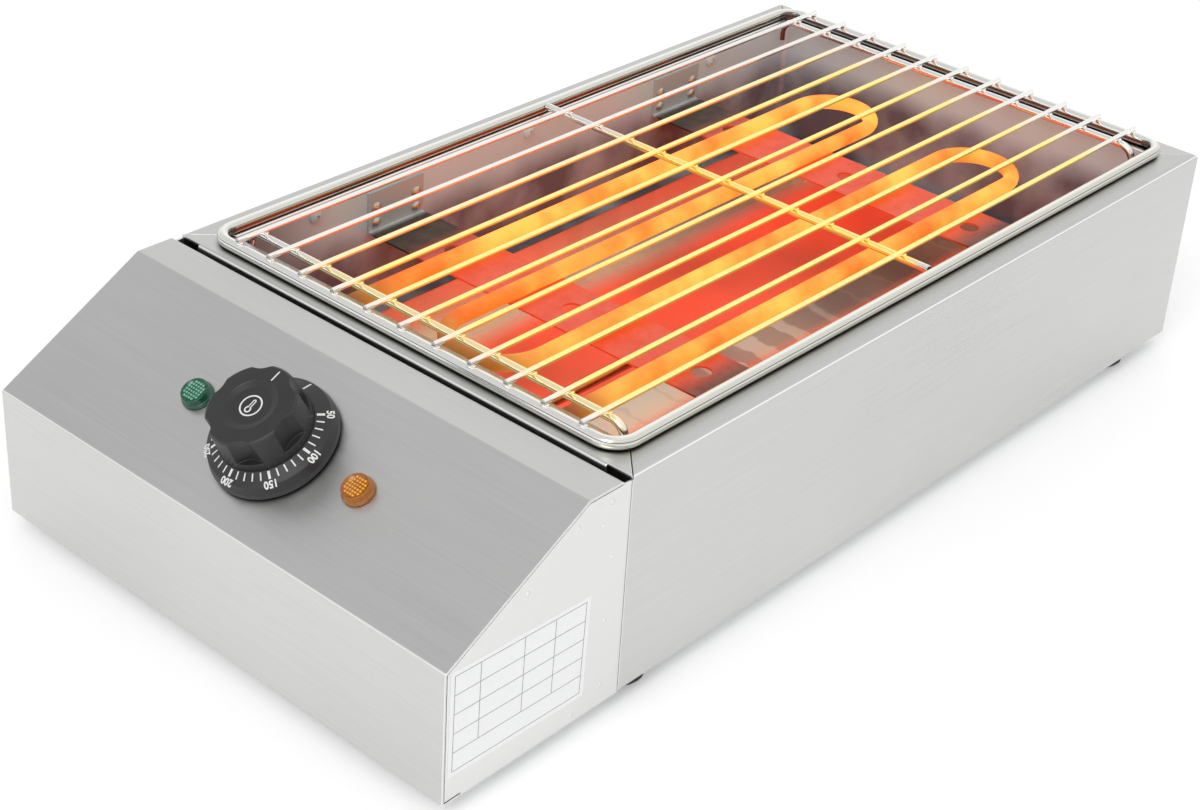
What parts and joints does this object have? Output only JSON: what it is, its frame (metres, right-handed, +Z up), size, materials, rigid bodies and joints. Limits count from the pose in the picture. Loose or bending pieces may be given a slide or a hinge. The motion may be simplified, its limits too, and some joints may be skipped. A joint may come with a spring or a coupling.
{
  "type": "electric table grill",
  "caption": "Electric table grill with a sloping control front, a lift-off wire rack, a bent heating element and a pull-out drip tray.",
  "frame": {"origin": "middle of the underside of the outer box, on the plane that the feet stand on", "axes": "+X to the right seen from the control front, +Y from the control front to the back, +Z up"},
  "size_m": [0.2816, 0.5632, 0.1265],
  "materials": {
    "outer_steel": "brushed stainless sheet",
    "cover_steel": "finely brushed stainless sheet",
    "inner_steel": "plain zinc-plated sheet",
    "liner_steel": "heat-tinted stainless sheet",
    "tray_steel": "bright stainless sheet",
    "carrier_steel": "heat-darkened steel",
    "element_sheath": "steel sheath at red heat",
    "rack_chrome": "bright plated wire",
    "screw_steel": "plated steel",
    "brass": "plain brass",
    "copper": "plain copper",
    "ceramic": "glazed ceramic and pin",
    "knob_plastic": "matt black phenolic plastic",
    "dark_plastic": "moulded plastic",
    "white_plastic": "moulded plastic",
    "green_lens": "clear green lens",
    "amber_lens": "clear amber lens",
    "wire_cover": "heat-proof wire covering",
    "rubber": "black rubber"
  },
  "bodies": {
    "grill_body": {"side_wall_left": "outer_steel", "side_wall_right": "outer_steel", "rear_wall": "outer_steel", "front_bulkhead": "outer_steel", "base_plate": "inner_steel", "cooking_liner": "liner_steel", "liner_screws": "screw_steel", "element_carriers": "carrier_steel", "carrier_rivets": "screw_steel", "heating_element": "element_sheath", "element_bushings": "brass", "element_nuts": "brass", "element_pins": "ceramic", "thermostat_bulb": "copper", "capillary_tube": "copper", "tray_guides": "inner_steel", "housing_cover": "cover_steel", "housing_side_left": "cover_steel", "housing_side_right": "cover_steel", "housing_base": "inner_steel", "base_screws": "screw_steel", "bulkhead_screws": "screw_steel", "bulkhead_nuts": "screw_steel", "thermostat_body": "dark_plastic", "thermostat_screws": "screw_steel", "lamp_lens_green": "green_lens", "lamp_lens_amber": "amber_lens", "lamp_bodies": "white_plastic", "lamp_nuts": "white_plastic", "terminal_block": "white_plastic", "terminal_screws": "screw_steel", "wiring": "wire_cover", "cord_grommet": "rubber", "cord_clamp": "white_plastic", "clamp_screws": "screw_steel", "rubber_feet": "rubber", "foot_screws": "screw_steel", "foot_nuts": "screw_steel"},
    "knob": {"knob_skirt": "knob_plastic", "knob_grip": "knob_plastic", "thermostat_spindle": "screw_steel"},
    "rack": {"rack_frame": "rack_chrome", "rack_long_wires": "rack_chrome", "rack_cross_wires": "rack_chrome"},
    "tray": {"drip_tray": "tray_steel", "tray_front": "outer_steel"}
  },
  "joints": [
    {"name": "knob_turn", "type": "hinge", "parent": "grill_body", "child": "knob", "pos_m": [0.00075, -0.243, 0.09309], "axis": [0, -0.4861, 0.8739], "range_deg": [0, 266]},
    {"name": "rack_lift", "type": "slide", "parent": "grill_body", "child": "rack", "axis": [0, 0, 1], "range_m": [0, 0.08]},
    {"name": "tray_slide", "type": "slide", "parent": "grill_body", "child": "tray", "axis": [0, 1, 0], "range_m": [0, 0.43]}
  ]
}
